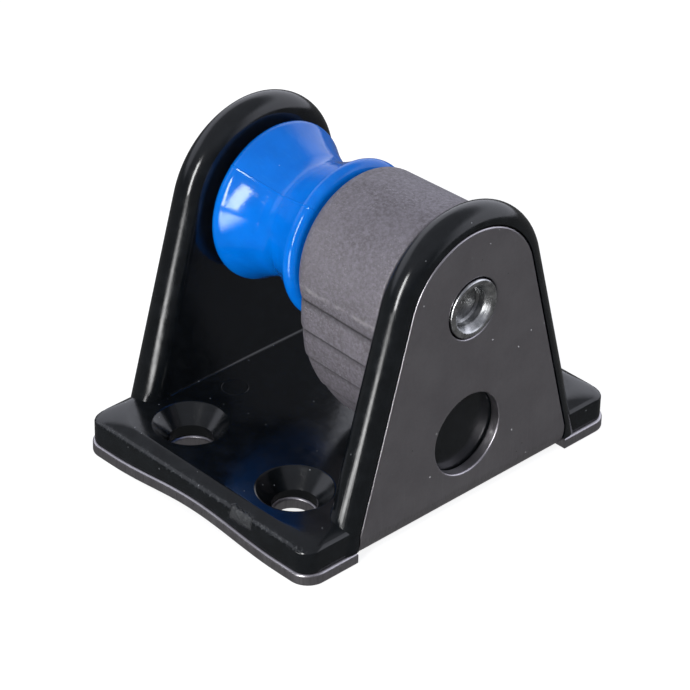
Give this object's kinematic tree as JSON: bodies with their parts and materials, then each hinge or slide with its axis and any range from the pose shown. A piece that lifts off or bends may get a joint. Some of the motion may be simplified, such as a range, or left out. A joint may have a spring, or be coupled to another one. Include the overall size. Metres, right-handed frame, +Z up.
{
  "type": "cam cleat",
  "caption": "Deck cam cleat: bent steel bracket with moulded liner, riveted axle, hourglass guide roller and sprung ridged cam that grips a rope against the base pad.",
  "frame": {"origin": "centre of the deck face, on the plane of the two flat strips that rest on the deck", "axes": "+X along the axle from the roller to the cam, +Z up from the deck, -Y towards the loaded end of the rope"},
  "size_m": [0.0526, 0.0674, 0.0526],
  "materials": {
    "satin_steel": "satin rolled stainless sheet with sheared edges",
    "gloss_black": "glossy moulded black plastic",
    "axle_steel": "turned stainless with rolled ends",
    "blue_moulding": "saturated blue moulded plastic, soft gloss",
    "cam_casting": "matt grey-brown speckled casting",
    "spring_steel": "drawn stainless wire"
  },
  "bodies": {
    "bracket": {"steel_bracket": "satin_steel", "liner": "gloss_black", "axle": "axle_steel", "cam_spring": "spring_steel"},
    "roller": {"guide_roller": "blue_moulding"},
    "cam": {"cam": "cam_casting"}
  },
  "joints": [
    {"name": "roller_spin", "type": "hinge", "parent": "bracket", "child": "roller", "pos_m": [-0.00935, 0, 0.0362], "axis": [1, 0, 0], "continuous": true},
    {"name": "cam_swing", "type": "hinge", "parent": "bracket", "child": "cam", "pos_m": [0.0102, 0, 0.0362], "axis": [1, 0, 0], "range_deg": [0, 70], "stiffness_Nm_per_rad": 0.02, "springref_deg": -28.65}
  ]
}
